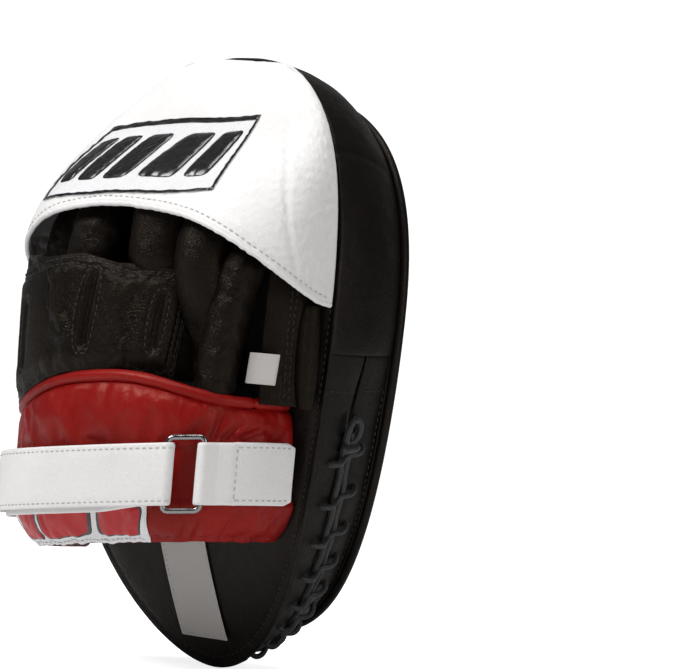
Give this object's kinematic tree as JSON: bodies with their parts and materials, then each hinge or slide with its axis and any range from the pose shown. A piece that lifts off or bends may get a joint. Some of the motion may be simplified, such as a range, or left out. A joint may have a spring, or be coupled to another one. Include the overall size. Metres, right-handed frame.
{
  "type": "focus mitt",
  "caption": "Curved black leather focus mitt for the left hand: white finger hood and target disc, red padded wrist cuff with a strap through a metal ring.",
  "frame": {"origin": "centre of the target disc's flat front face", "axes": "+Y out of the striking face, +Z along the hand to the fingertips, +X to the thumb side"},
  "size_m": [0.1756, 0.145, 0.2814],
  "materials": {
    "black_leather": "satin grained cowhide",
    "white_leather": "smooth satin, lightly creased",
    "red_leather": "satin, soft wrinkles",
    "foam": "matte closed-cell foam",
    "gel": "soft gel sheet",
    "lining_fabric": "matte woven lining",
    "lace_cord": "waxed cord",
    "ring_metal": "dark polished nickel",
    "loop_tape": "brushed loop tape",
    "hook_tape": "hook tape",
    "patch_vinyl": "white patch with raised black shapes",
    "badge_vinyl": "white patch with red shapes",
    "label_fabric": "matte woven label"
  },
  "bodies": {
    "mitt": {"backing_foam": "foam", "care_label": "label_fabric", "core_foam": "foam", "cuff_badge": "badge_vinyl", "cuff_foam": "foam", "cuff_lining": "lining_fabric", "cuff_shell": "red_leather", "cuff_welt": "red_leather", "face_panel": "black_leather", "face_piping": "black_leather", "front_gusset": "black_leather", "gel_layer": "gel", "hand_back": "black_leather", "hand_gel_liner": "gel", "hood": "white_leather", "hood_binding": "white_leather", "hood_patch": "patch_vinyl", "index_finger_stall": "black_leather", "knuckle_panel": "black_leather", "little_finger_stall": "black_leather", "loop_tape": "loop_tape", "middle_finger_stall": "black_leather", "palm_grip": "black_leather", "palm_lining": "lining_fabric", "rear_gusset": "black_leather", "rear_panel": "black_leather", "ring_finger_stall": "black_leather", "side_lace": "lace_cord", "side_roll": "black_leather", "strap_stub": "white_leather", "strap_under": "white_leather", "strike_foam": "foam", "target_disc": "white_leather", "thumb_gusset": "black_leather", "thumb_stall": "black_leather"},
    "ring": {"strap_ring": "ring_metal"},
    "strap_flap": {"strap_end": "white_leather", "hook_tape": "hook_tape"},
    "tag": {"side_tag": "label_fabric"}
  },
  "joints": [
    {"name": "ring_swivel", "type": "hinge", "parent": "mitt", "child": "ring", "pos_m": [0.05471, -0.09744, -0.05865], "axis": [0, 0, 1], "range_deg": [0, 35]},
    {"name": "strap_peel", "type": "hinge", "parent": "ring", "child": "strap_flap", "pos_m": [0.04101, -0.1065, -0.062], "axis": [0, 0, 1], "range_deg": [0, 150]},
    {"name": "tag_flip", "type": "hinge", "parent": "mitt", "child": "tag", "pos_m": [0.06, -0.079, -0.009], "axis": [0, 0, -1], "range_deg": [0, 100]}
  ]
}
